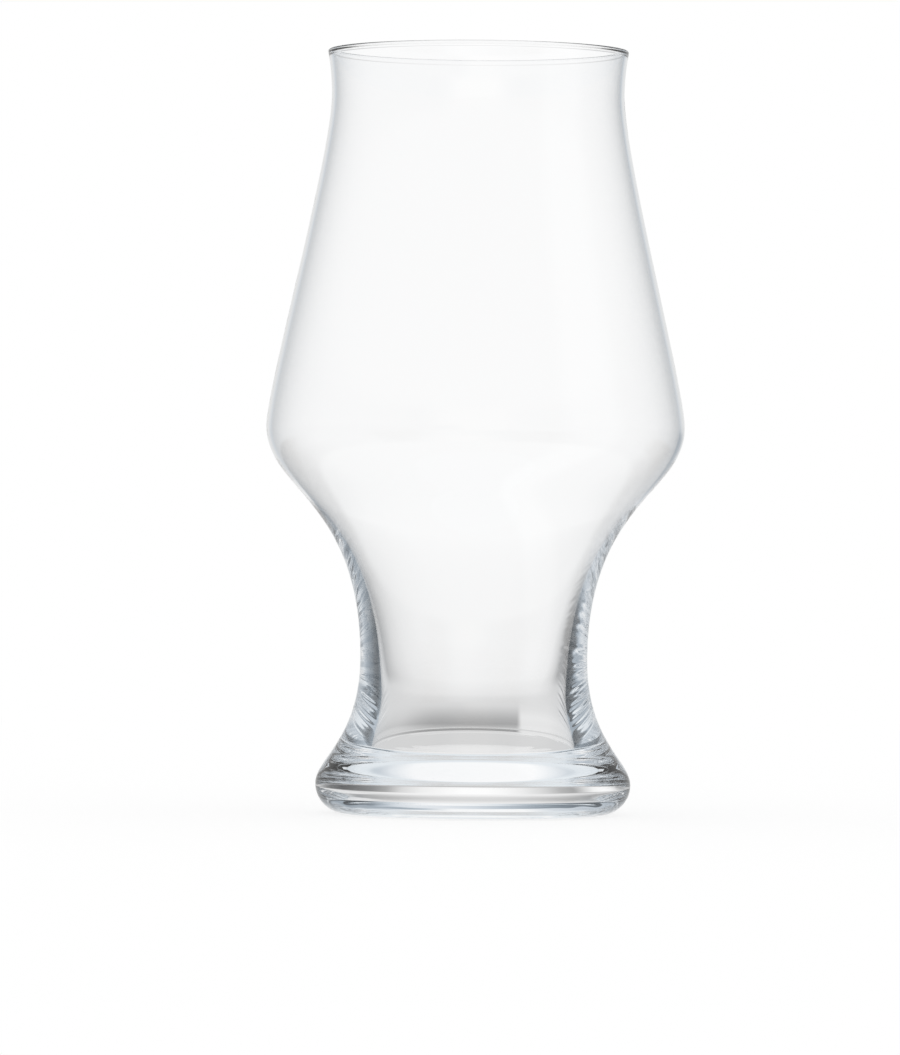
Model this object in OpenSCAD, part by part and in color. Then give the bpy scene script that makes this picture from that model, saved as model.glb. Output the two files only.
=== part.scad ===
// Tulip beer glass, free standing on its foot, in millimetres.
// The origin is on the axis, in the plane that the glass stands on, with +Z up.
// One outline is drawn through named stations: rim, neck, shoulder, waist and foot edge.
// The three gathers of glass, foot, stem and bowl, are slices of that one outline.

/* [Heights] */
// Thickness of the foot, up to its weld with the stem
foot_h = 7; // [6:0.5:9]
// Length of the stem, from the weld on the foot to the weld under the bowl
stem_h = 64; // [54:1:84]
// Height of the bowl, from its weld to the rim
bowl_h = 99; // [80:1:130]
// Height of the foot's widest line above the table
foot_edge_z = 6.6; // [4:0.2:8]
// Height of the waist above the foot
waist_rise = 27.5; // [22:0.5:34]
// Height of the shoulder above the weld under the bowl
shoulder_rise = 15; // [10:0.5:20]
// Depth of the neck below the rim
neck_drop = 10.2; // [6:0.2:16]

/* [Diameters] */
// Outer diameter of the flared rim
rim_d = 67; // [60:0.5:80]
// Outer diameter of the neck, the narrowest ring of the bowl
neck_d = 65.2; // [56:0.2:78]
// Outer diameter of the shoulder, the widest ring of the glass
shoulder_d = 93.2; // [84:0.2:110]
// Outer diameter of the waist of the stem
waist_d = 50.6; // [44:0.2:60]
// Outer diameter of the foot
foot_d = 70.2; // [64:0.2:80]
// Outer diameter of the flat ring that the glass stands on
ring_d = 57; // [52:0.5:62]

/* [Glass] */
// Wall of the bowl at the rim and the neck
lip_wall = 1; // [0.8:0.1:1.6]
// Wall at the shoulder
shoulder_wall = 1.1; // [0.9:0.1:2]
// Wall of the stem at the narrowest part of its bore
stem_wall = 4.55; // [3:0.05:6]
// Depth of the narrowest part of the bore below the waist
bore_drop = 8.5; // [4:0.5:11]
// Diameter of the bore where its wall starts to round into its floor
floor_d = 45.8; // [42:0.2:48]
// Radius of that rounding
floor_round = 1.2; // [0.6:0.1:2.4]
// Outward lean of the bore's wall above that rounding, in degrees
floor_lean = 13; // [6:1:18]
// Thickness of the stem's glass under the bore's floor
floor_wall = 4.6; // [3:0.2:7]
// Width of the flat ring under the foot
ring_w = 4.5; // [3:0.5:7]
// Height of the hollow under the foot
punt_h = 3; // [1:0.5:5]

/* [Curves] */
// Fullness of each curve at a station: the part of its height over which it leaves the upright
neck_full = 0.18; // [0.1:0.01:0.3]
// Fullness above the shoulder
shoulder_full = 0.12; // [0.08:0.01:0.25]
// Fullness below the shoulder
hip_full = 0.275; // [0.2:0.005:0.35]
// Fullness above the waist
waist_full = 0.68; // [0.5:0.01:0.8]
// Fullness below the waist
ankle_full = 0.65; // [0.5:0.01:0.75]
// Fullness above the foot's widest line
foot_full = 0.2; // [0.1:0.01:0.3]
// Fullness of the inside below the shoulder
inner_hip_full = 0.235; // [0.2:0.005:0.3]
// Fullness of the inside below the narrowest part of the bore
bore_full = 0.4; // [0.3:0.05:0.5]
// Fullness of the inside above the rounding of the bore's floor
floor_full = 0.3; // [0.2:0.05:0.4]
// Number of straight steps along each curve
curve_steps = 24; // [12:1:40]

/* [Hidden] */
$fn = 128;
GLASS = [0.84, 0.89, 0.92, 0.5];
// Share of the radius at which a cubic curve follows a quarter circle
QUARTER_ARC = 0.5523;

stem_top = foot_h + stem_h;
rim_z = stem_top + bowl_h;
neck_z = rim_z - neck_drop;
shoulder_z = stem_top + shoulder_rise;
waist_z = foot_h + waist_rise;
bore_z = waist_z - bore_drop;
floor_z = foot_h + floor_wall;
corner_z = floor_z + floor_round;
bore_h = bore_z - corner_z;

rim_r = rim_d / 2;
neck_r = neck_d / 2;
shoulder_r = shoulder_d / 2;
waist_r = waist_d / 2;
foot_r = foot_d / 2;
ring_r = ring_d / 2;
bore_r = waist_r - stem_wall;
floor_r = floor_d / 2;
punt_r = ring_r - ring_w;
lip_r = lip_wall / 2;
// Radius of the sphere that hollows the foot, from the chord and the height of its cap
punt_sphere_r = (punt_r * punt_r + punt_h * punt_h) / (2 * punt_h);
// Lean of the flared lip at the rim, the end of an arc that leaves the neck upright
lip_lean = 2 * atan2(rim_r - neck_r, neck_drop);

function cubic(a, b, c, d, t) =
    pow(1 - t, 3) * a + 3 * pow(1 - t, 2) * t * b + 3 * (1 - t) * t * t * c + t * t * t * d;

// Points of a cubic curve from a to d, without its last point
function curve(a, b, c, d) = [for (i = [0 : curve_steps - 1]) cubic(a, b, c, d, i / curve_steps)];

// Curve that is upright at both ends: a is the upper station, b the lower, each with its fullness
function upright(a, b, full_a, full_b) =
    let (drop = a.y - b.y)
    curve(a, a - [0, full_a * drop], b + [0, full_b * drop], b);

// Curve from the rim down to an upright neck, leaning out by lip_lean at the rim
function lip(top, neck) =
    let (pull = (top.y - neck.y) / 3)
    curve(top, top - pull * [sin(lip_lean), cos(lip_lean)], neck + [0, pull], neck);

outside = concat(
    lip([rim_r, rim_z - lip_r], [neck_r, neck_z]),
    upright([neck_r, neck_z], [shoulder_r, shoulder_z], neck_full, shoulder_full),
    upright([shoulder_r, shoulder_z], [waist_r, waist_z], hip_full, waist_full),
    upright([waist_r, waist_z], [foot_r, foot_edge_z], ankle_full, foot_full),
    curve(
        [foot_r, foot_edge_z],
        [foot_r, foot_edge_z * (1 - QUARTER_ARC)],
        [ring_r + (foot_r - ring_r) * QUARTER_ARC, 0],
        [ring_r, 0]
    ),
    [[ring_r, 0]]
);

// Cap of a sphere under the foot, from the ring to the axis
punt = [
    for (i = [0 : curve_steps])
        let (r = punt_r * (1 - i / curve_steps))
        [r, punt_h - punt_sphere_r + sqrt(punt_sphere_r * punt_sphere_r - r * r)]
];

inside = concat(
    lip([rim_r - lip_wall, rim_z - lip_r], [neck_r - lip_wall, neck_z]),
    upright(
        [neck_r - lip_wall, neck_z],
        [shoulder_r - shoulder_wall, shoulder_z],
        neck_full,
        shoulder_full
    ),
    upright([shoulder_r - shoulder_wall, shoulder_z], [bore_r, bore_z], inner_hip_full, waist_full),
    curve(
        [bore_r, bore_z],
        [bore_r, bore_z - bore_full * bore_h],
        [floor_r, corner_z] - floor_full * bore_h * [tan(floor_lean), -1],
        [floor_r, corner_z]
    ),
    curve(
        [floor_r, corner_z],
        [floor_r, corner_z] + QUARTER_ARC * floor_round * [sin(floor_lean), -cos(floor_lean)],
        [floor_r - floor_round * (1 - QUARTER_ARC), floor_z],
        [floor_r - floor_round, floor_z]
    ),
    [[floor_r - floor_round, floor_z], [0, floor_z]]
);

// Half circle over the wall at the rim, from the outside to the inside
rim_arc = [
    for (i = [1 : curve_steps - 1])
        let (a = 180 * i / curve_steps)
        [rim_r - lip_r + lip_r * cos(a), rim_z - lip_r + lip_r * sin(a)]
];

module half_section() {
    inside_up = [for (i = [len(inside) - 1 : -1 : 0]) inside[i]];
    rim_over = [for (i = [len(rim_arc) - 1 : -1 : 0]) rim_arc[i]];
    polygon(concat(outside, punt, inside_up, rim_over));
}

// The ring of glass between two heights
module gather(bottom, top) {
    rotate_extrude()
        intersection() {
            half_section();
            translate([0, bottom]) square([shoulder_d, top - bottom]);
        }
}

module bowl() { color(GLASS) gather(stem_top, rim_z); }
module stem() { color(GLASS) gather(foot_h, stem_top); }
module foot() { color(GLASS) gather(0, foot_h); }

bowl();
stem();
foot();
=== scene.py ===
# %% [markdown]
# A tulip beer glass: a thin bowl on a thick hollow stem and a heavy round foot.
# The whole object is clear glass, so there is nothing to see but what the glass bends and mirrors.
# The lesson is therefore about three things: smooth surfaces with exact normals, one plain glass
# material, and a white tent with grey corners that gives the glass something to show.

import math

import bpy
import numpy as np
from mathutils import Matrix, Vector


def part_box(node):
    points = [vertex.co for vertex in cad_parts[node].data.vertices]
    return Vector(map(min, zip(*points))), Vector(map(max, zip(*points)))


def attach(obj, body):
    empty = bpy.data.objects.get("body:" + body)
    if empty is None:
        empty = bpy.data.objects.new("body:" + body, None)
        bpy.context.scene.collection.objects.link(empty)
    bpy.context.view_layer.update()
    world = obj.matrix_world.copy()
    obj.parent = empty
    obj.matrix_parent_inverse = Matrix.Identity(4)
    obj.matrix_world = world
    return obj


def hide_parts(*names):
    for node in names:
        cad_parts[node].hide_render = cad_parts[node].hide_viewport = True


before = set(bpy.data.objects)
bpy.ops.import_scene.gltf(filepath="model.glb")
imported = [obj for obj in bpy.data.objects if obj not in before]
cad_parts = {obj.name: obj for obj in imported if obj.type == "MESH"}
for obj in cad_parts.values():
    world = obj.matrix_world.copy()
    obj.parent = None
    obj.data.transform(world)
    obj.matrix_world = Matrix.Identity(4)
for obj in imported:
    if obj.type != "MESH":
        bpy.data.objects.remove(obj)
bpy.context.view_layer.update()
scene = bpy.context.scene

# %% [markdown]
# The sizes that the solids already know are read from their boxes: the heights of the two welds and
# of the rim, and the widest rings of the bowl and of the foot. The rest of the outline, such as the
# neck and the waist, lies inside those boxes, so it is written here, as millimetres turned to metres.

# %% Sizes of the glass
MM = 0.001
TO_MM, TO_UM = 1e3, 1e6
foot_low, foot_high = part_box("foot")
_, stem_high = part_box("stem")
bowl_low, bowl_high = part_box("bowl")

foot_top = foot_high.z
stem_top = stem_high.z
rim_z = bowl_high.z
shoulder_r = (bowl_high.x - bowl_low.x) / 2
foot_r = (foot_high.x - foot_low.x) / 2

rim_r = 33.5 * MM
neck_r = 32.6 * MM
waist_r = 25.3 * MM
ring_r = 28.5 * MM
ring_w = 4.5 * MM
punt_h = 3.0 * MM
floor_r = 22.9 * MM
floor_round = 1.2 * MM
floor_lean = math.radians(13)

foot_edge_z = 6.6 * MM
waist_z = foot_top + 27.5 * MM
shoulder_z = stem_top + 15.0 * MM
neck_z = rim_z - 10.2 * MM
floor_z = foot_top + 4.6 * MM
corner_z = floor_z + floor_round
bore_z = waist_z - 8.5 * MM
bore_h = bore_z - corner_z

lip_wall = 1.0 * MM
shoulder_wall = 1.1 * MM
stem_wall = 4.55 * MM
print(f"glass {rim_z * TO_MM:.0f} mm high, {2 * shoulder_r * TO_MM:.1f} mm across the shoulder")

# %% [markdown]
# The outline is a chain of cubic curves between stations: rim, neck, shoulder, waist and foot edge.
# At each station but the rim the wall stands upright, so a curve only needs its two ends and how full
# it is near each of them. The solids are drawn by the same rule, which keeps the two models in one skin.

# %% Curves of the outline
QUARTER_ARC = 0.5523
lip_lean = 2 * math.atan2(rim_r - neck_r, rim_z - neck_z)


def even(steps):
    """Even shares from 0 up to, and without, 1."""
    return np.linspace(0, 1, steps, endpoint=False)


def cubic(a, b, c, d, shares):
    """Points of a cubic curve from a to d, without d: each corner times its term of (1 - t) + t, cubed."""
    t = shares[:, None]
    a, b, c, d = (np.array(p, float) for p in (a, b, c, d))
    return (1 - t) ** 3 * a + 3 * (1 - t) ** 2 * t * b + 3 * (1 - t) * t**2 * c + t**3 * d


def upright(a, b, full_a, full_b, shares):
    """Curve from a down to b that leaves both ends upright, over a share of the drop at each end."""
    drop = a[1] - b[1]
    return cubic(a, (a[0], a[1] - full_a * drop), (b[0], b[1] + full_b * drop), b, shares)


def lip(top, neck, shares):
    """Curve from the leaning rim down to the upright neck: the end of an arc through both."""
    pull = (top[1] - neck[1]) / 3
    leaning = (top[0] - pull * math.sin(lip_lean), top[1] - pull * math.cos(lip_lean))
    return cubic(top, leaning, (neck[0], neck[1] + pull), neck, shares)


def smooth_step(value, low, high):
    """0 below low, 1 above high; between them three times the share squared less twice its cube."""
    share = np.clip((value - low) / (high - low), 0, 1)
    return share**2 * (3 - 2 * share)


print(f"lip leans out by {math.degrees(lip_lean):.1f} degrees")

# %% The outside of the glass
NECK_FULL, SHOULDER_FULL = 0.18, 0.12
HIP_FULL, WAIST_FULL = 0.275, 0.68
ANKLE_FULL, FOOT_FULL = 0.65, 0.2
LIP_STEPS, CONE_STEPS, HIP_STEPS, ANKLE_STEPS, EDGE_STEPS = 16, 48, 60, 40, 24
RING_STEPS, PUNT_STEPS = 8, 32

lip_r = lip_wall / 2
rim = (rim_r, rim_z - lip_r)
neck = (neck_r, neck_z)
shoulder = (shoulder_r, shoulder_z)
waist = (waist_r, waist_z)
foot_edge = (foot_r, foot_edge_z)
ring = (ring_r, 0.0)

outside = np.vstack([
    lip(rim, neck, even(LIP_STEPS)),
    upright(neck, shoulder, NECK_FULL, SHOULDER_FULL, even(CONE_STEPS)),
    upright(shoulder, waist, HIP_FULL, WAIST_FULL, even(HIP_STEPS)),
    upright(waist, foot_edge, ANKLE_FULL, FOOT_FULL, even(ANKLE_STEPS)),
    cubic(
        foot_edge,
        (foot_r, foot_edge_z * (1 - QUARTER_ARC)),
        (ring_r + (foot_r - ring_r) * QUARTER_ARC, 0.0),
        ring,
        even(EDGE_STEPS),
    ),
])

punt_r = ring_r - ring_w
punt_sphere = (punt_r**2 + punt_h**2) / (2 * punt_h)
punt_radii = punt_r * np.linspace(1, 0, PUNT_STEPS + 1)
punt = np.column_stack([punt_radii, punt_h - punt_sphere + np.sqrt(punt_sphere**2 - punt_radii**2)])
standing_radii = np.linspace(ring_r, punt_r, RING_STEPS + 1)[:-1]
standing_ring = np.column_stack([standing_radii, np.zeros(RING_STEPS)])
print("outside:", len(outside), "points down to the ring,", len(punt), "under the foot")

# %% [markdown]
# Two marks of the making are smaller than the solids need. Where a flame melts the cut rim smooth, the
# glass draws together into a bead, a tenth of a millimetre thick on the inner side, which gives the rim
# its second fine line. And round the floor of the bore, where the plunger's edge left the glass, stands
# a low soft ring, which gives the floor its pale and dark lines.

# %% The inside of the glass
BEAD_H = 0.1 * MM
BEAD_RISE, BEAD_FALL = (0.5 * MM, 0.85 * MM), (0.9 * MM, 1.4 * MM)
BEAD_SHARE = 0.16
RING_H = 0.45 * MM
RING_STEP = 4.0 * MM
RING_FADE = 3.0 * MM
RING_SHARE = 0.4
INNER_HIP_FULL, BORE_FULL, FLOOR_FULL = 0.235, 0.4, 0.3
BEAD_STEPS, INNER_LIP_STEPS, RIM_STEPS = 20, 12, 16
INNER_HIP_STEPS, BORE_STEPS, CORNER_STEPS = 250, 90, 16
FLOOR_RING_STEPS, FLOOR_ROWS = 40, 5

inner_rim = (rim_r - lip_wall, rim_z - lip_r)
inner_neck = (neck_r - lip_wall, neck_z)
inner_shoulder = (shoulder_r - shoulder_wall, shoulder_z)
bore = (waist_r - stem_wall, bore_z)
corner = (floor_r, corner_z)
floor_edge_r = floor_r - floor_round

floor_in = np.concatenate([RING_SHARE * even(FLOOR_RING_STEPS), np.linspace(RING_SHARE, 1, FLOOR_ROWS)])
from_edge = floor_edge_r * floor_in
floor_ring = (1 - np.cos(2 * math.pi * from_edge / RING_STEP)) / 2 * np.exp(-from_edge / RING_FADE)
below_bead = BEAD_SHARE + (1 - BEAD_SHARE) * even(INNER_LIP_STEPS)
lip_shares = np.concatenate([BEAD_SHARE * even(BEAD_STEPS), below_bead])

inside = np.vstack([
    lip(inner_rim, inner_neck, lip_shares),
    upright(inner_neck, inner_shoulder, NECK_FULL, SHOULDER_FULL, even(CONE_STEPS)),
    upright(inner_shoulder, bore, INNER_HIP_FULL, WAIST_FULL, even(INNER_HIP_STEPS)),
    cubic(
        bore,
        (bore[0], bore_z - BORE_FULL * bore_h),
        (floor_r - FLOOR_FULL * bore_h * math.tan(floor_lean), corner_z + FLOOR_FULL * bore_h),
        corner,
        even(BORE_STEPS),
    ),
    cubic(
        corner,
        (
            floor_r + QUARTER_ARC * floor_round * math.sin(floor_lean),
            corner_z - QUARTER_ARC * floor_round * math.cos(floor_lean),
        ),
        (floor_r - floor_round * (1 - QUARTER_ARC), floor_z),
        (floor_edge_r, floor_z),
        even(CORNER_STEPS),
    ),
    np.column_stack([floor_edge_r - from_edge, floor_z + RING_H * floor_ring]),
])

bead_drop = rim_z - inside[:, 1]
inside[:, 0] -= BEAD_H * smooth_step(bead_drop, *BEAD_RISE) * (1 - smooth_step(bead_drop, *BEAD_FALL))

turn = np.linspace(math.pi, 0, RIM_STEPS + 1)[1:-1]
rim_over = np.column_stack([rim_r - lip_r + lip_r * np.cos(turn), rim_z - lip_r + lip_r * np.sin(turn)])
print("inside:", len(inside), "points,", len(rim_over), "over the rim")

# %% [markdown]
# Glass shows every fault in its normals: a line seen through it kinks where two faces disagree. So the
# skin of the whole glass is one long outline: from the middle of the bore's floor up the inside, over
# the rim, down the outside and under the foot to the axis. It is turned round the axis as one grid of
# points and normals, and each piece takes its own rows of it. Two pieces that meet at a weld then
# share the normals there, and no seam shows.

# %% One skin, turned round the axis
TURN_STEPS = 256
TOUCHING = 1e-9


def with_row_at(line, height):
    """The outline with one more point where it first passes a height, found along the straight step."""
    above = line[:, 1] >= height
    step = np.flatnonzero(above[:-1] != above[1:])[0]
    a, b = line[step], line[step + 1]
    share = (a[1] - height) / (a[1] - b[1])
    return np.insert(line, step + 1, a + share * (b - a), axis=0)


outer_skin = with_row_at(with_row_at(np.vstack([outside, standing_ring, punt]), stem_top), foot_top)
inner_skin = with_row_at(inside, stem_top)[::-1]
skin = np.vstack([inner_skin, rim_over, outer_skin])
along = np.concatenate([[0.0], np.cumsum(np.linalg.norm(np.diff(skin, axis=0), axis=1))])
theta = np.linspace(0, 2 * math.pi, TURN_STEPS, endpoint=False)
inner_weld, outer_weld = np.flatnonzero(np.abs(skin[:, 1] - stem_top) < TOUCHING)
(foot_weld,) = np.flatnonzero(np.abs(skin[:, 1] - foot_top) < TOUCHING)

radius, height = (np.repeat(skin[:, k : k + 1], TURN_STEPS, axis=1) for k in (0, 1))
print("skin rows:", len(skin), "shortest step:", f"{np.diff(along).min() * TO_UM:.1f} um")

# %% [markdown]
# The plunger that opens the bore leaves its inside faintly rippled. Through the front of the stem the
# ripples can't be seen, but at its two sides the wall mirrors totally, and a slope of a degree or two
# there throws the light elsewhere: the even wall breaks up into pale and dark slashes. The ripples are
# three sets of waves, a few hundredths of a millimetre high, that swell and fade along the stem: each
# has its length, its height, its start and the length of its swell. Their crests lie level at the waist
# and lean more and more above and below it. On the left they are lower, and calm a little way above the
# foot. They start just behind the line where the bore begins to mirror, so that the dark line along the
# inside of the wall stays smooth.

# %% Ripples inside the stem
IOR = 1.52
RIPPLES = (
    (1.4 * MM, 0.026 * MM, 0.4, 7.3 * MM),
    (2.3 * MM, 0.040 * MM, 2.1, 10.5 * MM),
    (3.9 * MM, 0.040 * MM, 4.4, 15.0 * MM),
)
RIPPLE_RISE, RIPPLE_FALL = (15 * MM, 19 * MM), (58 * MM, 76 * MM)
RIPPLE_REST = 0.3
RIPPLE_LEAN = 0.42
LEAN_TURN = 10 * MM
RIPPLE_START = (0.5, 7)
RIPPLE_END = (3, 17)
LEFT_SHARE = (0.7, 0.12)
LEFT_CALM = (23 * MM, 29 * MM)


def mirror_line(bore_radius, wall_radius):
    """Degrees behind the side at which the bore begins to mirror the eye's ray: the critical angle and
    the ray's bend at the outer wall, less a quarter turn."""
    share = bore_radius / wall_radius
    return np.degrees(np.arcsin(share) - math.pi / 2 + math.asin(1 / IOR) - np.arcsin(share / IOR))


def ripple(x, y, z):
    """Height of the ripples: sines of z plus a lean times y, each times its swell, in a sector at each
    side that starts behind the mirror line."""
    lean = RIPPLE_LEAN * np.tanh((z - waist_z) / LEAN_TURN)
    waves = np.zeros_like(z)
    for length, crest, start, group in RIPPLES:
        swell = RIPPLE_REST + (1 - RIPPLE_REST) * np.cos(math.pi * (z - waist_z) / group) ** 2
        waves += crest * swell * np.sin(2 * math.pi * (z + lean * y) / length + start)
    in_bore = smooth_step(z, *RIPPLE_RISE) * (1 - smooth_step(z, *RIPPLE_FALL))
    behind_side = np.degrees(np.arctan2(y, np.abs(x)))
    wall_radius = np.interp(z, outside[::-1, 1], outside[::-1, 0])
    behind_line = behind_side - mirror_line(np.minimum(np.hypot(x, y), wall_radius), wall_radius)
    sector = smooth_step(behind_line, *RIPPLE_START) * (1 - smooth_step(behind_side, *RIPPLE_END))
    left = LEFT_SHARE[0] + (LEFT_SHARE[1] - LEFT_SHARE[0]) * smooth_step(z, *LEFT_CALM)
    return waves * in_bore * sector * np.where(x > 0, 1.0, left)


rim_row = len(inner_skin)
bore_x, bore_y = radius[:rim_row] * np.cos(theta), radius[:rim_row] * np.sin(theta)
waves = ripple(bore_x, bore_y, height[:rim_row])
radius[:rim_row] += waves
points = np.stack([radius * np.cos(theta), radius * np.sin(theta), height], axis=2)
print(f"ripples up to {np.abs(waves).max() * TO_UM:.0f} um high")

# %% Normals of the skin
UP = np.array([0.0, 0.0, 1.0])
SHORTEST = 1e-12


def grid_normals(grid, places):
    """Unit normals of a grid: its slope along the rows crossed with its slope round the axis."""
    slope_along = np.gradient(grid, places, axis=0)
    slope_round = np.roll(grid, -1, axis=1) - np.roll(grid, 1, axis=1)
    normal = np.cross(slope_along, slope_round)
    return normal / np.maximum(np.linalg.norm(normal, axis=2, keepdims=True), SHORTEST)


normals = grid_normals(points, along)
normals[0], normals[-1] = UP, -UP
print("normals:", normals.shape[0], "rows of", normals.shape[1])

# %% [markdown]
# A piece is a strip of faces between each row and the next. A row on the axis is a single point, so
# its strip is a fan. The flat faces where two gathers were fused are kept, so that every piece is a
# closed solid, but they get a second material that light passes as if nothing were there.

# %% From rows to a piece
GLASS_FACE, WELD_FACE = 0, 1


def turned_piece(name, rows, row_normals, weld_strips, closed):
    """Closed mesh from rings of points: each strip joins a ring to the next, and the last ring to the
    first if closed."""
    count = len(rows)
    on_axis = np.linalg.norm(rows[:, :, :2], axis=2).max(axis=1) < TOUCHING
    ring_size = np.where(on_axis, 1, TURN_STEPS)
    first = np.concatenate([[0], np.cumsum(ring_size)[:-1]])
    column = np.arange(TURN_STEPS)
    beyond = (column + 1) % TURN_STEPS
    index = first[:, None] + np.where(on_axis[:, None], 0, column)
    verts = np.vstack([rows[i, : ring_size[i]] for i in range(count)])
    faces, corner_normals, face_kind = [], [], []
    for i in range(count if closed else count - 1):
        a, b = i, (i + 1) % count
        corners = [(a, column), (b, column), (b, beyond), (a, beyond)]
        if on_axis[a]:
            corners.pop(3)
        if on_axis[b]:
            corners.pop(2)
        faces += np.stack([index[row, col] for row, col in corners], axis=1).tolist()
        strip_normals = np.stack([row_normals[row, col] for row, col in corners], axis=1)
        if i in weld_strips:
            strip_normals[:] = weld_strips[i] * UP
        corner_normals.append(strip_normals.reshape(-1, 3))
        face_kind.append(np.full(TURN_STEPS, WELD_FACE if i in weld_strips else GLASS_FACE))
    mesh = bpy.data.meshes.new(name)
    mesh.from_pydata(verts.tolist(), [], faces)
    mesh.shade_smooth()
    mesh.polygons.foreach_set("material_index", np.concatenate(face_kind).astype(np.int32))
    mesh.normals_split_custom_set(np.vstack(corner_normals).tolist())
    piece = bpy.data.objects.new(name, mesh)
    scene.collection.objects.link(piece)
    print(f"{name}: {len(mesh.vertices)} points, {len(mesh.loops) - 2 * len(mesh.polygons)} triangles")
    return piece


print("face materials: glass", GLASS_FACE, "and weld", WELD_FACE)

# %% Bowl, stem and foot
foot_centre = np.broadcast_to(np.array([0.0, 0.0, foot_top]), (1, TURN_STEPS, 3))
centre_normal = np.broadcast_to(UP, (1, TURN_STEPS, 3))

bowl_rows = np.arange(inner_weld, outer_weld + 1)
bowl = turned_piece("bowl_glass", points[bowl_rows], normals[bowl_rows], {len(bowl_rows) - 1: -1}, True)

stem_rows = np.concatenate([np.arange(inner_weld + 1), np.arange(outer_weld, foot_weld + 1)])
stem = turned_piece(
    "stem_glass",
    np.concatenate([points[stem_rows], foot_centre]),
    np.concatenate([normals[stem_rows], centre_normal]),
    {int(inner_weld): 1, len(stem_rows) - 1: -1},
    False,
)

foot_rows = np.arange(foot_weld, len(skin))
foot = turned_piece(
    "foot_glass",
    np.concatenate([foot_centre, points[foot_rows]]),
    np.concatenate([centre_normal, normals[foot_rows]]),
    {0: 1},
    False,
)

# %% [markdown]
# Shader maths reads best as plain arithmetic. This small class holds one output of a node: adding or
# multiplying two of them adds a Math node and gives back its output. Any other node comes from the
# method that names its type, its settings and what goes into its sockets. A Mix node has sockets for
# every kind of data, so its two colours and its result are known by their numbers.

# %% Shader arithmetic
MIX_A, MIX_B, MIX_RESULT = 6, 7, 2


class Wire:
    """One output socket in a node tree, with arithmetic that adds Math nodes."""

    def __init__(self, tree, socket=None):
        self.tree, self.socket = tree, socket

    def node(self, kind, settings, sockets, output=0):
        """Adds a node: settings are set first, then each socket gets a value or a link."""
        made = self.tree.nodes.new(kind)
        for key, value in settings.items():
            setattr(made, key, value)
        for key, value in sockets.items():
            if isinstance(value, Wire):
                self.tree.links.new(value.socket, made.inputs[key])
            else:
                made.inputs[key].default_value = value
        return Wire(self.tree, made.outputs[output])

    def math(self, operation, *values):
        """Adds a Math node that does the named operation on the values."""
        return self.node("ShaderNodeMath", {"operation": operation}, dict(enumerate(values)))

    def __add__(self, other):
        return self.math("ADD", self, other)

    def __sub__(self, other):
        return self.math("SUBTRACT", self, other)

    def __rsub__(self, other):
        return self.math("SUBTRACT", other, self)

    def __mul__(self, other):
        return self.math("MULTIPLY", self, other)

    __radd__, __rmul__ = __add__, __mul__

    def rise(self, low, high):
        """0 below low, 1 above high and a smooth rise between them."""
        ends = {"Value": self, "From Min": low, "From Max": high, "To Min": 0.0, "To Max": 1.0}
        return self.node("ShaderNodeMapRange", {"interpolation_type": "SMOOTHSTEP"}, ends)

    def ramp(self, stops):
        """Colour looked up by this value in a row of stops, each a place from 0 to 1 and a colour."""
        found = self.node("ShaderNodeValToRGB", {}, {"Fac": self})
        row = found.socket.node.color_ramp.elements
        for k, (place, shade) in enumerate(stops):
            stop = row[k] if k < len(row) else row.new(place)
            stop.position, stop.color = place, shade
        return found

    def blend(self, low, high):
        """Colour that goes from low to high as this value goes from 0 to 1."""
        colours = {"Factor": self, MIX_A: low, MIX_B: high}
        return self.node("ShaderNodeMix", {"data_type": "RGBA"}, colours, MIX_RESULT)


def empty_tree(owner, output_kind):
    """Clears the nodes of a material or a world and returns its tree and its output node."""
    owner.use_nodes = True
    owner.node_tree.nodes.clear()
    return Wire(owner.node_tree), owner.node_tree.nodes.new(output_kind)


print("a wire can:", [name for name in vars(Wire) if not name.startswith("_")])

# %% [markdown]
# Soda glass has an index of refraction of 1.52 and swallows almost no light in a few millimetres, so
# its material is white, smooth and fully clear. Blown glass is never quite even, so slow waves from a
# noise over the object stir its normals a very little. The welds inside the glass are no surfaces at
# all: their material lets light pass straight through.

# %% Materials of the glass
WAVES_PER_M = 90.0
WAVE_H = 0.5 * MM
WAVE_SHARE = 0.01


def clear_glass():
    """Clear polished glass: all light that isn't mirrored goes in, bent as by soda glass."""
    material = bpy.data.materials.new("clear_glass")
    wire, output = empty_tree(material, "ShaderNodeOutputMaterial")
    place = wire.node("ShaderNodeTexCoord", {}, {}, "Object")
    noise = wire.node("ShaderNodeTexNoise", {}, {"Vector": place, "Scale": WAVES_PER_M, "Detail": 1.0})
    wavy = wire.node("ShaderNodeBump", {}, {"Strength": WAVE_SHARE, "Distance": WAVE_H, "Height": noise})
    look = {
        "Base Color": (1.0, 1.0, 1.0, 1.0),
        "Roughness": 0.0,
        "IOR": IOR,
        "Transmission Weight": 1.0,
        "Normal": wavy,
    }
    glass = wire.node("ShaderNodeBsdfPrincipled", {}, look)
    wire.tree.links.new(glass.socket, output.inputs["Surface"])
    return material


def fused_weld():
    """Inside of a weld: nothing is seen there, so light passes straight through."""
    material = bpy.data.materials.new("fused_weld")
    wire, output = empty_tree(material, "ShaderNodeOutputMaterial")
    weld = wire.node("ShaderNodeBsdfPrincipled", {}, {"Alpha": 0.0})
    wire.tree.links.new(weld.socket, output.inputs["Surface"])
    return material


glass_material, weld_material = clear_glass(), fused_weld()
for piece, node in ((bowl, "bowl"), (stem, "stem"), (foot, "foot")):
    piece.data.materials.append(glass_material)
    piece.data.materials.append(weld_material)
    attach(piece, "root")
    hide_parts(node)
print("dressed:", bowl.name, stem.name, foot.name)

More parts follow.
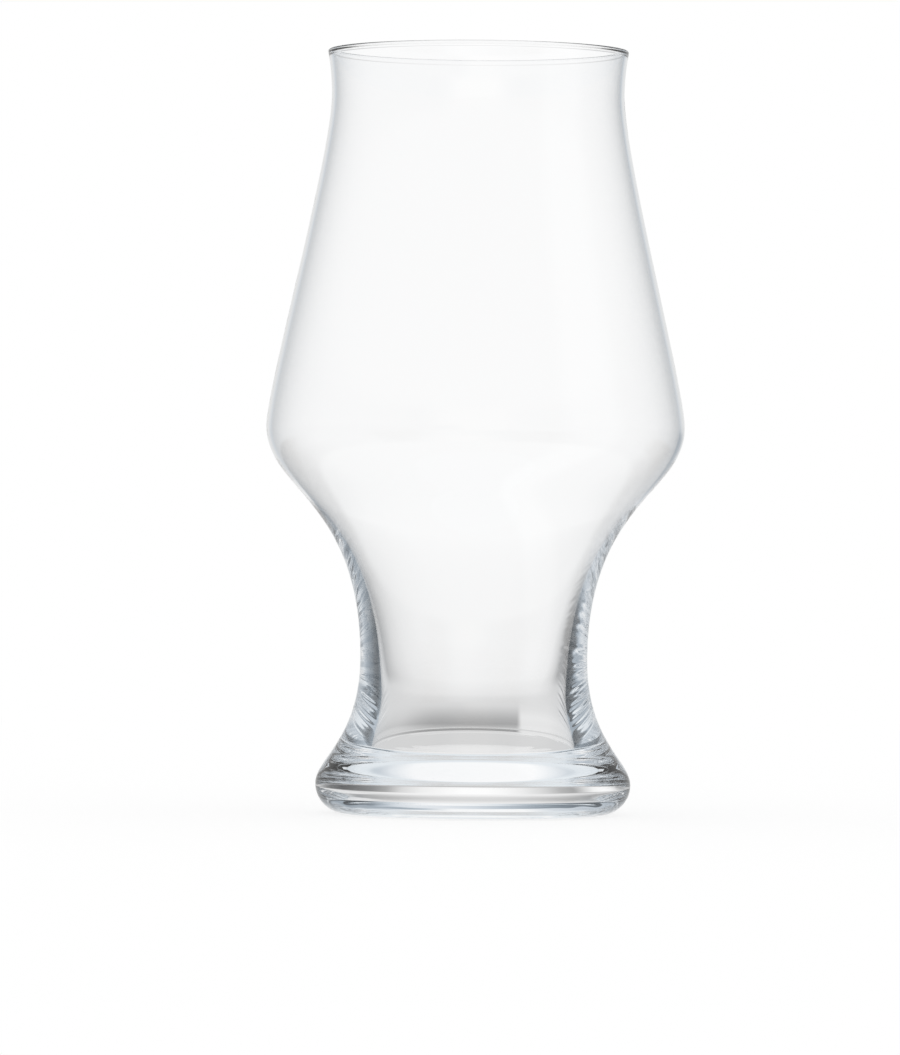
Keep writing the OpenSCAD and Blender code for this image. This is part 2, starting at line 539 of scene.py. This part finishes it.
# %% [markdown]
# Glass is photographed inside a white tent with darker corners: what the glass shows is the tent. A
# studio shapes each reflection with cards and flags. Here the tent is a rule instead: it asks how a ray
# came to it, and answers with a grey that depends on the ray's direction. Straight from the camera it
# is white, which makes the white background of the picture.

# %% Which ray is looking
WHITE = (1.0, 1.0, 1.0, 1.0)
PLAIN_LIGHT = 0.8


def ray_kinds(wire):
    """Whether the ray comes straight from the camera, was mirrored on its way, or was last bent."""
    names = ("Is Camera Ray", "Glossy Depth", "Is Transmission Ray")
    camera_ray, mirrors, bent = (wire.node("ShaderNodeLightPath", {}, {}, name) for name in names)
    return camera_ray, wire.math("MINIMUM", mirrors, 1.0), bent


print("light on the floor:", PLAIN_LIGHT)

# %% Greys along a wall
COOL = 0.12
DEGREES = 180 / math.pi


def grey(level):
    """Plain grey of a given level."""
    return (level, level, level, 1.0)


def cool_grey(level):
    """Grey of a given level, bluer the darker it is."""
    tint = COOL * (1 - level)
    return (level * (1 - 2 * tint), level, level * (1 + 2 * tint), 1.0)


def along_wall(angle, half, stops, tone):
    """Greys along a wall of the tent: the angle is wrapped to within half a wall of its middle and
    looked up between the wall's stops."""
    near = angle.math("WRAP", angle, half, -half)
    share = angle.math("MULTIPLY_ADD", near, 0.5 / half, 0.5)
    return share.ramp([((at + half) / (2 * half), tone(level)) for at, level in stops])


world = bpy.data.worlds.new("light_tent")
scene.world = world
sky, sky_output = empty_tree(world, "ShaderNodeOutputWorld")
direction = sky.node("ShaderNodeTexCoord", {}, {}, "Generated")
across, ahead, up = (sky.node("ShaderNodeSeparateXYZ", {}, {"Vector": direction}, axis) for axis in "XYZ")
azimuth = sky.math("ARCTAN2", across, ahead) * DEGREES
elevation = sky.math("ARCSINE", up) * DEGREES
print("tent:", world.name, "read by azimuth and elevation in degrees")

# %% [markdown]
# Light that was only bent comes from behind the glass. Through the middle of the bowl it hardly turns,
# and towards the edges it comes from further and further to the side. So the wall behind is white in
# the middle and falls off to both sides, which draws the glass with soft grey edges, a little darker on
# the right. The wall repeats every half turn, and is white again at each quarter turn and on one
# diagonal, so that the glass stays clear from there too. Above it hangs a grey ceiling. Each stop of a
# wall is an azimuth in degrees and a level of grey.

# %% The wall behind the glass
CLEAR_WALL = ((-90.0, 1.0), (-83.0, 0.95), (-77.0, 0.85), (-71.0, 0.65), (-66.0, 0.42), (-61.0, 0.42),
              (-56.0, 0.75), (-51.0, 0.96), (-45.0, 1.0), (-39.0, 0.93), (-34.0, 0.65), (-29.0, 0.32),
              (-24.0, 0.42), (-18.0, 0.67), (-12.0, 0.85), (-7.0, 0.95), (-3.0, 1.0), (3.0, 1.0),
              (7.0, 0.95), (13.0, 0.87), (19.0, 0.68), (24.0, 0.36), (29.0, 0.22), (37.0, 0.12),
              (45.0, 0.05), (58.0, 0.10), (66.0, 0.36), (72.0, 0.67), (78.0, 0.87), (84.0, 0.96),
              (90.0, 1.0))
CEILING = 0.5
CEILING_FROM = (10, 18)
QUARTER_TURN = 90.0
clear = along_wall(azimuth, QUARTER_TURN, CLEAR_WALL, grey)
clear = elevation.rise(*CEILING_FROM).blend(clear, grey(CEILING))
print("wall behind the glass:", len(CLEAR_WALL), "stops")

# %% [markdown]
# Light that was mirrored inside the thick stem and foot comes from all round, and it is what makes the
# walls of the stem look like metal. The tent has four bands for it, one above the other, because each
# slope of the ripples looks at another height: a low band that whitens the slashes, a middle band that
# gives the walls their tone, a band at the horizon that is darker on one side, and a high band that
# whitens the foot. Each fades in over a few degrees of elevation. A pale cool room lies above and below
# them. Light that was mirrored off the outside meets a plain room with one bright window, and mirrored
# light that passed the surface four times or more a plain grey.

# %% The walls that the glass mirrors
LOW_WALL = ((-90.0, 0.50), (-60.0, 0.20), (-45.0, 0.12), (-32.0, 0.18), (-24.0, 0.28), (-17.0, 0.42),
            (-8.0, 0.75), (0.0, 0.92), (8.0, 0.98), (17.0, 0.92), (25.0, 0.72), (32.0, 0.40),
            (40.0, 0.16), (50.0, 0.12), (64.0, 0.50), (90.0, 0.50))
MIDDLE_WALL = ((-90.0, 0.50), (-75.0, 0.55), (-60.0, 0.30), (-46.0, 0.05), (-39.0, 0.07), (-31.0, 0.16),
               (-23.0, 0.23), (-15.0, 0.34), (-7.0, 0.52), (0.0, 0.68), (8.0, 0.78), (16.0, 0.78),
               (21.0, 0.68), (26.0, 0.48), (31.0, 0.24), (36.0, 0.07), (46.0, 0.03), (56.0, 0.03),
               (64.0, 0.30), (75.0, 0.50), (90.0, 0.50))
HORIZON_WALL = ((-90.0, 0.50), (-60.0, 0.45), (-45.0, 0.55), (-30.0, 0.60), (-20.0, 0.70), (-12.0, 0.95),
                (5.0, 0.95), (12.0, 0.55), (18.0, 0.38), (56.0, 0.34), (66.0, 0.42), (90.0, 0.50))
HIGH_WALL = ((-90.0, 0.60), (-45.0, 0.55), (-33.0, 0.56), (-26.0, 0.64), (-19.0, 0.82), (-13.0, 0.97),
             (13.0, 0.95), (19.0, 0.80), (26.0, 0.55), (33.0, 0.40), (45.0, 0.50), (90.0, 0.60))
BANDS = (
    (LOW_WALL, (-35, -30)),
    (MIDDLE_WALL, (-24, -21)),
    (HORIZON_WALL, (-11.5, -10.0)),
    (HIGH_WALL, (-4.0, 1.5)),
)
ROOM = (0.76, 0.81, 0.85, 1.0)
ROOM_FROM = (14, 20)
NEAR_ROOM = ((-180.0, 0.86), (-65.0, 0.86), (-38.0, 0.50), (-15.0, 0.58), (-6.0, 0.90), (6.0, 0.90),
             (15.0, 0.58), (38.0, 0.50), (65.0, 0.86), (88.0, 0.86), (100.0, 1.25), (122.0, 1.25),
             (134.0, 0.86), (180.0, 0.86))
HALF_TURN = 180.0
FAR_ROOM = 0.65

walls = ROOM
for wall, start in BANDS:
    walls = elevation.rise(*start).blend(walls, along_wall(azimuth, QUARTER_TURN, wall, cool_grey))
walls = elevation.rise(*ROOM_FROM).blend(walls, ROOM)
near_room = along_wall(azimuth, HALF_TURN, NEAR_ROOM, grey)
print("mirrored walls:", len(BANDS), "bands and a room with", len(NEAR_ROOM), "stops")

# %% The tent as the world
INSIDE_AFTER, FAR_AFTER = 1.0, 3.0
crossings = sky.node("ShaderNodeLightPath", {}, {}, "Transmission Depth")
was_inside = sky.math("GREATER_THAN", crossings, INSIDE_AFTER)
went_far = sky.math("GREATER_THAN", crossings, FAR_AFTER)
mirrored_tent = was_inside.blend(near_room, went_far.blend(walls, grey(FAR_ROOM)))

camera_ray, mirrored, bent = ray_kinds(sky)
colour = mirrored.blend(bent.blend(grey(PLAIN_LIGHT), clear), mirrored_tent)
colour = camera_ray.blend(colour, WHITE)
background = sky.node("ShaderNodeBackground", {}, {"Color": colour, "Strength": 1.0})
sky.tree.links.new(background.socket, sky_output.inputs["Surface"])
print("tent:", len(sky.tree.nodes), "nodes")

# %% [markdown]
# The glass stands on a pale floor. Seen through the glass the floor is greyer than the backdrop: close
# to the foot it carries a painted shadow of the glass itself, pale right under the foot, in rings that
# the bent light draws into the lines above and below the foot. Further off the painted shade pales and
# takes the greys of the wall behind, painted in wedges, so that no edge shows where the two meet. At the
# right a patch of painted light next to the foot ends in a straight line, which leans out along the floor
# just enough to look upright through the glass. At the left a fainter patch of painted light ends softly.

# %% The floor's disc
FLOOR_R = 0.7
FLOOR_DROP = 0.0001
FLOOR_STEPS = 96
round_floor = np.linspace(0, 2 * math.pi, FLOOR_STEPS, endpoint=False)
floor_rim = FLOOR_R * np.column_stack([np.cos(round_floor), np.sin(round_floor), 0 * round_floor])
floor_mesh = bpy.data.meshes.new("floor")
floor_mesh.from_pydata((floor_rim - [0, 0, FLOOR_DROP]).tolist(), [], [list(range(FLOOR_STEPS))])
floor = bpy.data.objects.new("floor", floor_mesh)
scene.collection.objects.link(floor)
floor_material = bpy.data.materials.new("pale_floor")
floor_mesh.materials.append(floor_material)
print(f"floor: {2 * FLOOR_R:.1f} m across")

# %% The floor's painted shade, seen through the glass
SHADE_MM = 700
FLOOR_SHADE = ((0, 0.92), (30, 0.80), (38, 0.30), (41, 0.20), (44, 0.30), (50, 0.50), (54, 0.50),
               (60, 0.30), (67, 0.37), (75, 0.48), (88, 0.67), (108, 0.83), (145, 0.92), (200, 0.93),
               (300, 0.95), (450, 0.97), (SHADE_MM, 1.0))
# Patches of painted light on the floor next to the foot, seen only by bent light: their grey, where they
# fade out, and their edges and shares at right and left.
PAINTED_LIGHT_LEVEL = 0.92
SIDE_NEAR = (70, 100)
SIDE_RIGHT, RIGHT_PAINTED_LIGHT = (9.0, 11.5), 0.8
SIDE_LEAN = 0.1
SIDE_LEFT, LEFT_PAINTED_LIGHT = (12.0, 32.0), 0.35
FLOOR_WEDGE = ((-90.0, 1.0), (-80.0, 0.95), (-72.0, 0.76), (-66.0, 0.5), (-61.0, 0.5), (-56.0, 0.8),
               (-51.0, 0.96), (-39.0, 0.96), (-34.0, 0.7), (-29.0, 0.42), (-22.0, 0.62), (-18.0, 0.76),
               (-12.0, 0.90), (-6.0, 0.98), (0.0, 1.0), (10.0, 1.0), (17.0, 0.94), (22.0, 0.72),
               (27.0, 0.36), (45.0, 0.15), (62.0, 0.3), (70.0, 0.7), (78.0, 0.92), (90.0, 1.0))
WEDGE_FROM = (80, 150)
WALL_FROM = (200, 600)

ground, ground_output = empty_tree(floor_material, "ShaderNodeOutputMaterial")
place = ground.node("ShaderNodeTexCoord", {}, {}, "Object")
from_axis = ground.node("ShaderNodeVectorMath", {"operation": "LENGTH"}, {0: place}, "Value") * TO_MM
floor_x, floor_y = (ground.node("ShaderNodeSeparateXYZ", {}, {"Vector": place}, axis) for axis in "XY")
floor_azimuth = ground.math("ARCTAN2", floor_x, floor_y) * DEGREES

# Painted shadow of the glass on the floor: greys by distance from the axis, seen only by bent light.
shade = (from_axis * (1 / SHADE_MM)).ramp([(at / SHADE_MM, grey(level)) for at, level in FLOOR_SHADE])
# Painted light: pale patches on the floor at the right and left of the foot, fading out away from it.
right_painted_light = ((floor_x - floor_y * SIDE_LEAN) * TO_MM).rise(*SIDE_RIGHT) * RIGHT_PAINTED_LIGHT
painted_light_beside = right_painted_light + (floor_x * -TO_MM).rise(*SIDE_LEFT) * LEFT_PAINTED_LIGHT
shade = (painted_light_beside * (1.0 - from_axis.rise(*SIDE_NEAR))).blend(shade, grey(PAINTED_LIGHT_LEVEL))
# Painted shade: the floor darkens in wedges towards the sides, and far off takes the greys of the wall
# behind.
wedge = along_wall(floor_azimuth, QUARTER_TURN, FLOOR_WEDGE, grey)
far_wedge = along_wall(floor_azimuth, QUARTER_TURN, CLEAR_WALL, grey)
wedge = from_axis.rise(*WEDGE_FROM).blend(WHITE, from_axis.rise(*WALL_FROM).blend(wedge, far_wedge))
multiply = {"data_type": "RGBA", "blend_type": "MULTIPLY"}
shade = ground.node("ShaderNodeMix", multiply, {"Factor": 1.0, MIX_A: shade, MIX_B: wedge}, MIX_RESULT)
print("floor shade:", len(FLOOR_SHADE), "stops out to", SHADE_MM, "mm")

# %% [markdown]
# Each kind of ray meets its own floor. The camera sees a matt grey floor that glows just enough to be as
# white as the backdrop, less the faint shadow that the glass casts on it. Bent light meets the painted
# shade of the last cell. Mirrored light passes through the floor and sees the tent.

# %% What each ray meets on the floor
FLOOR_COLOUR = 0.22
camera_ray, mirrored, bent = ray_kinds(ground)
glow = camera_ray * (1.0 - FLOOR_COLOUR * PLAIN_LIGHT)
matt = ground.node("ShaderNodeBsdfDiffuse", {}, {"Color": grey(FLOOR_COLOUR)})
lit = ground.node("ShaderNodeEmission", {}, {"Color": WHITE, "Strength": glow})
both = ground.node("ShaderNodeAddShader", {}, {0: matt, 1: lit})
# The painted shade, shown to bent light as a glow.
shaded = ground.node("ShaderNodeEmission", {}, {"Color": shade, "Strength": 1.0})
seen = ground.node("ShaderNodeMixShader", {}, {0: bent, 1: both, 2: shaded})
passed = ground.node("ShaderNodeBsdfTransparent", {}, {"Color": WHITE})
surface = ground.node("ShaderNodeMixShader", {}, {0: mirrored, 1: seen, 2: passed})
ground.tree.links.new(surface.socket, ground_output.inputs["Surface"])
print("floor material:", len(ground.tree.nodes), "nodes")

# %% [markdown]
# The rim and the floor of the bore are narrow ellipses in the photo, and their widths give the height
# of the camera: a little below the top of the stem, a metre and a half away, through a long lens. The
# camera looks level, so that the sides of the glass don't lean together. The glass leans by half a
# degree in the photo, so the camera is rolled by as much.

# %% The camera
PHOTO_H = 1055
FOCAL_PX = 6814.0
MM_PER_PX = 0.22272
AXIS_PX = 24.8
STAND_PX = 813.5
SENSOR = 36.0
FAR_CLIP = 100.0
ROLL = math.radians(-0.46)
distance = FOCAL_PX * MM_PER_PX * MM
eye_z = (STAND_PX - PHOTO_H / 2) * MM_PER_PX * MM
camera_data = bpy.data.cameras.new("camera")
camera_data.sensor_width = SENSOR
camera_data.lens = SENSOR * FOCAL_PX / PHOTO_H
camera_data.clip_end = FAR_CLIP
camera = bpy.data.objects.new("camera", camera_data)
scene.collection.objects.link(camera)
camera.location = (-AXIS_PX * MM_PER_PX * MM, -distance, eye_z)
camera.rotation_euler = (math.pi / 2, ROLL, 0.0)
scene.camera = camera
print(f"camera: {distance:.2f} m away, {eye_z * TO_MM:.0f} mm up, {camera_data.lens:.0f} mm lens")

# %% [markdown]
# A ray in the foot may be mirrored many times before it leaves. Each path is followed for a few dozen
# bounces and then counts as dark: real glass swallows such long paths too, and they draw the dark
# streaks at the ends of the foot. The colours go to the picture as they are.

# %% Light paths and colours
BOUNCES = 34
CLEAR_BOUNCES = 64
scene.cycles.max_bounces = BOUNCES
scene.cycles.glossy_bounces = BOUNCES
scene.cycles.transmission_bounces = BOUNCES
scene.cycles.transparent_max_bounces = CLEAR_BOUNCES
scene.view_settings.view_transform = "Standard"
print("bounces:", BOUNCES)

# %% [markdown]
